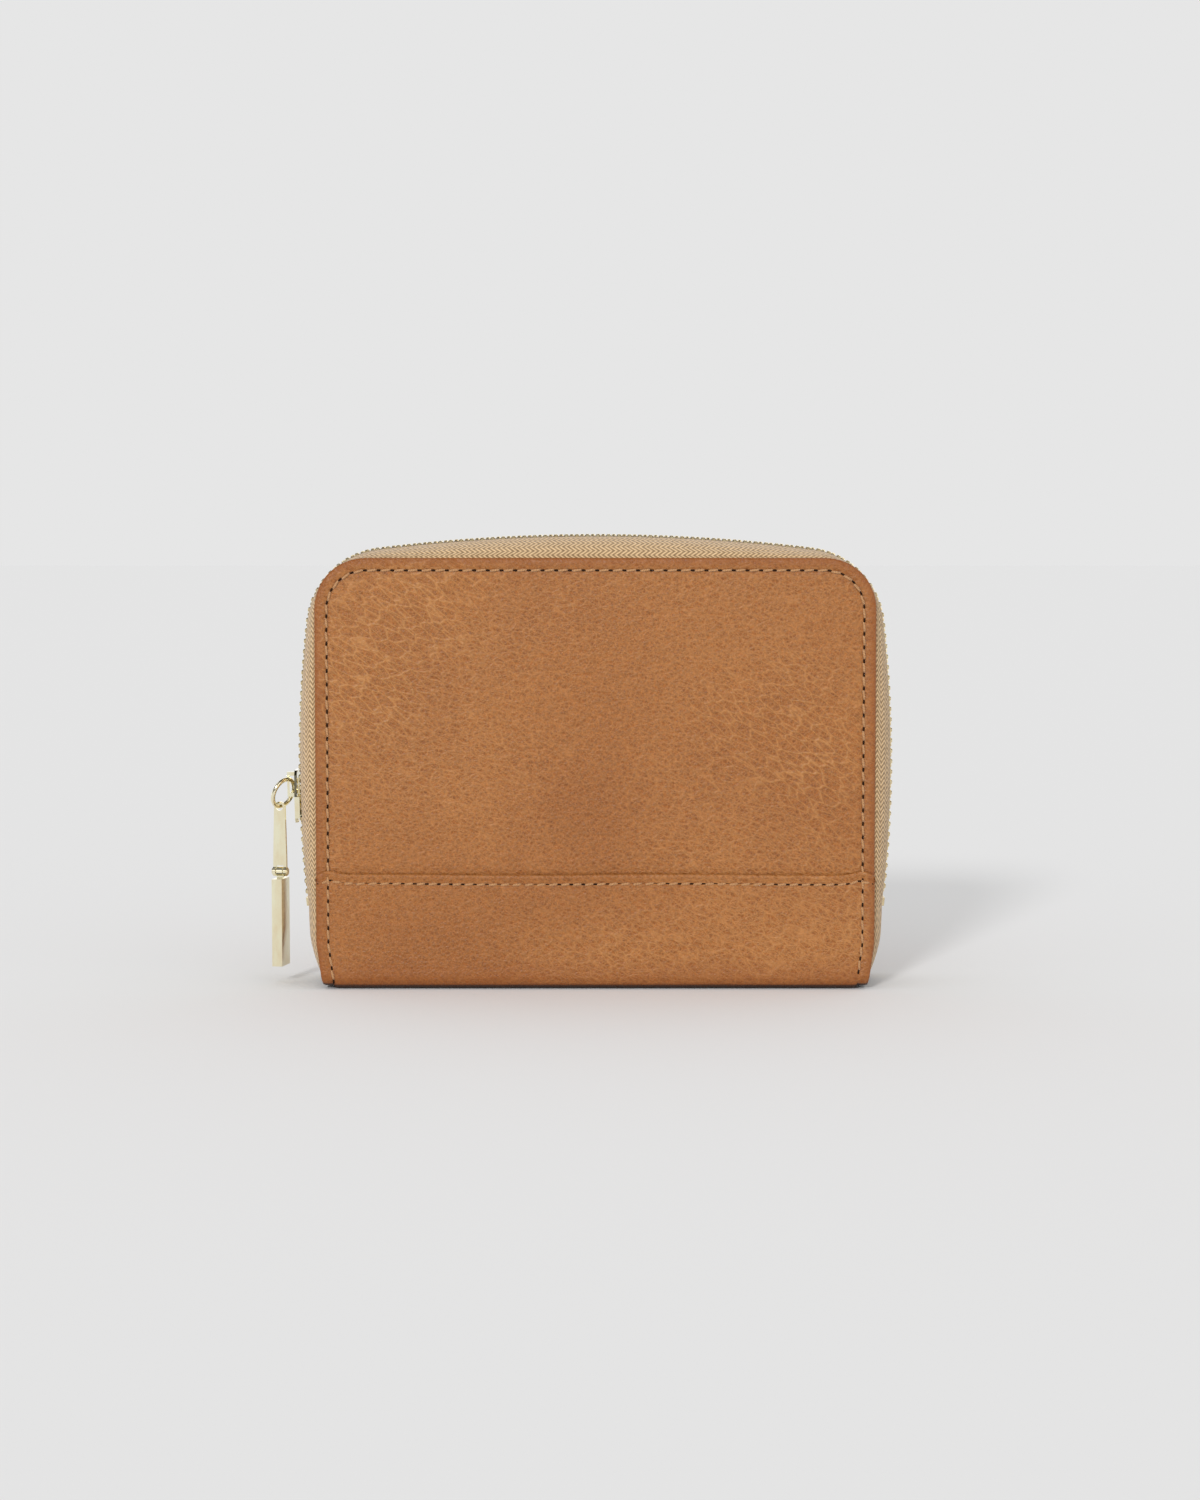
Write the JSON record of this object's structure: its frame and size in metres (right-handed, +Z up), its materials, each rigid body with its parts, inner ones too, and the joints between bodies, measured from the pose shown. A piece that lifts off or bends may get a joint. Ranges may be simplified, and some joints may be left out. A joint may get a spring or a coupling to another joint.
{
  "type": "zip around wallet",
  "caption": "Compact zip around leather wallet with a folded lower band, a metal zip round three sides, a ring-hung pull, card slots and a zipped coin pocket.",
  "frame": {"origin": "centre of the face of the spine that the wallet stands on", "axes": "+X along the width, to the right seen from the front; +Y from the front cover to the back cover; +Z up, from the spine to the zip's crest"},
  "size_m": [0.1488, 0.027, 0.1076],
  "materials": {
    "leather": "satin, fine pebbled grain",
    "lining": "plain woven lining",
    "board": "matte",
    "zip_tape": "herringbone woven tape",
    "gold_metal": "polished light gold plating"
  },
  "bodies": {
    "back_cover": {"back_panel": "leather", "back_band": "leather", "back_board": "board", "back_lining": "lining", "note_pocket_tall": "lining", "note_pocket_low": "lining", "back_zip_tape": "zip_tape", "back_zip_teeth": "gold_metal", "back_zip_stops": "gold_metal", "spine_strip": "leather", "spine_board": "board", "spine_lining": "lining", "left_gusset": "lining", "right_gusset": "lining"},
    "front_cover": {"front_panel": "leather", "front_band": "leather", "front_board": "board", "front_lining": "lining", "card_slot_1": "leather", "card_slot_2": "leather", "card_slot_3": "leather", "card_slot_4": "leather", "front_zip_tape": "zip_tape", "front_zip_teeth": "gold_metal", "front_zip_stops": "gold_metal"},
    "coin_pocket": {"coin_front_wall": "leather", "coin_back_wall": "leather", "coin_side_strip": "lining", "coin_zip_tapes": "zip_tape", "coin_zip_teeth": "gold_metal"},
    "coin_slider": {"coin_zip_slider": "gold_metal"},
    "coin_pull": {"coin_zip_pull": "gold_metal"},
    "zip_slider": {"slider_body": "gold_metal"},
    "ring": {"jump_ring": "gold_metal"},
    "link": {"pull_link": "gold_metal", "pull_pin": "gold_metal"},
    "bar": {"pull_bar": "gold_metal"}
  },
  "joints": [
    {"name": "cover_open", "type": "hinge", "parent": "back_cover", "child": "front_cover", "pos_m": [0, -0.0129, 0.0006], "axis": [1, 0, 0], "range_deg": [0, 86], "deforming": ["left_gusset", "right_gusset"]},
    {"name": "coin_pocket_turn", "type": "hinge", "parent": "back_cover", "child": "coin_pocket", "pos_m": [0, -0.0129, 0.0006], "axis": [1, 0, 0], "range_deg": [0, 43], "deforming": ["left_gusset", "right_gusset"]},
    {"name": "slider_travel", "type": "hinge", "parent": "back_cover", "child": "zip_slider", "pos_m": [0.2298, 0, 0.052], "axis": [0, 1, 0], "range_deg": [-0.65, 6]},
    {"name": "ring_swing", "type": "hinge", "parent": "zip_slider", "child": "ring", "pos_m": [-0.0729, 0, 0.0482], "axis": [0, 1, 0], "range_deg": [0, 10]},
    {"name": "link_swing", "type": "hinge", "parent": "ring", "child": "link", "pos_m": [-0.07561, -0.00116, 0.04245], "axis": [0.5779, 0.8161, 0], "range_deg": [0, 75]},
    {"name": "bar_swing", "type": "hinge", "parent": "link", "child": "bar", "pos_m": [-0.07561, -0.00116, 0.02675], "axis": [0.9781, -0.2079, 0], "range_deg": [-70, 70]},
    {"name": "coin_slider_travel", "type": "slide", "parent": "coin_pocket", "child": "coin_slider", "axis": [1, 0, 0], "range_m": [0, 0.066]},
    {"name": "coin_pull_swing", "type": "hinge", "parent": "coin_slider", "child": "coin_pull", "pos_m": [-0.033, 0, 0.0825], "axis": [0, 1, 0], "range_deg": [-100, 0]}
  ],
  "couplings": [
    {"joint": "coin_pocket_turn", "follows": "cover_open", "ratio": 0.5}
  ]
}
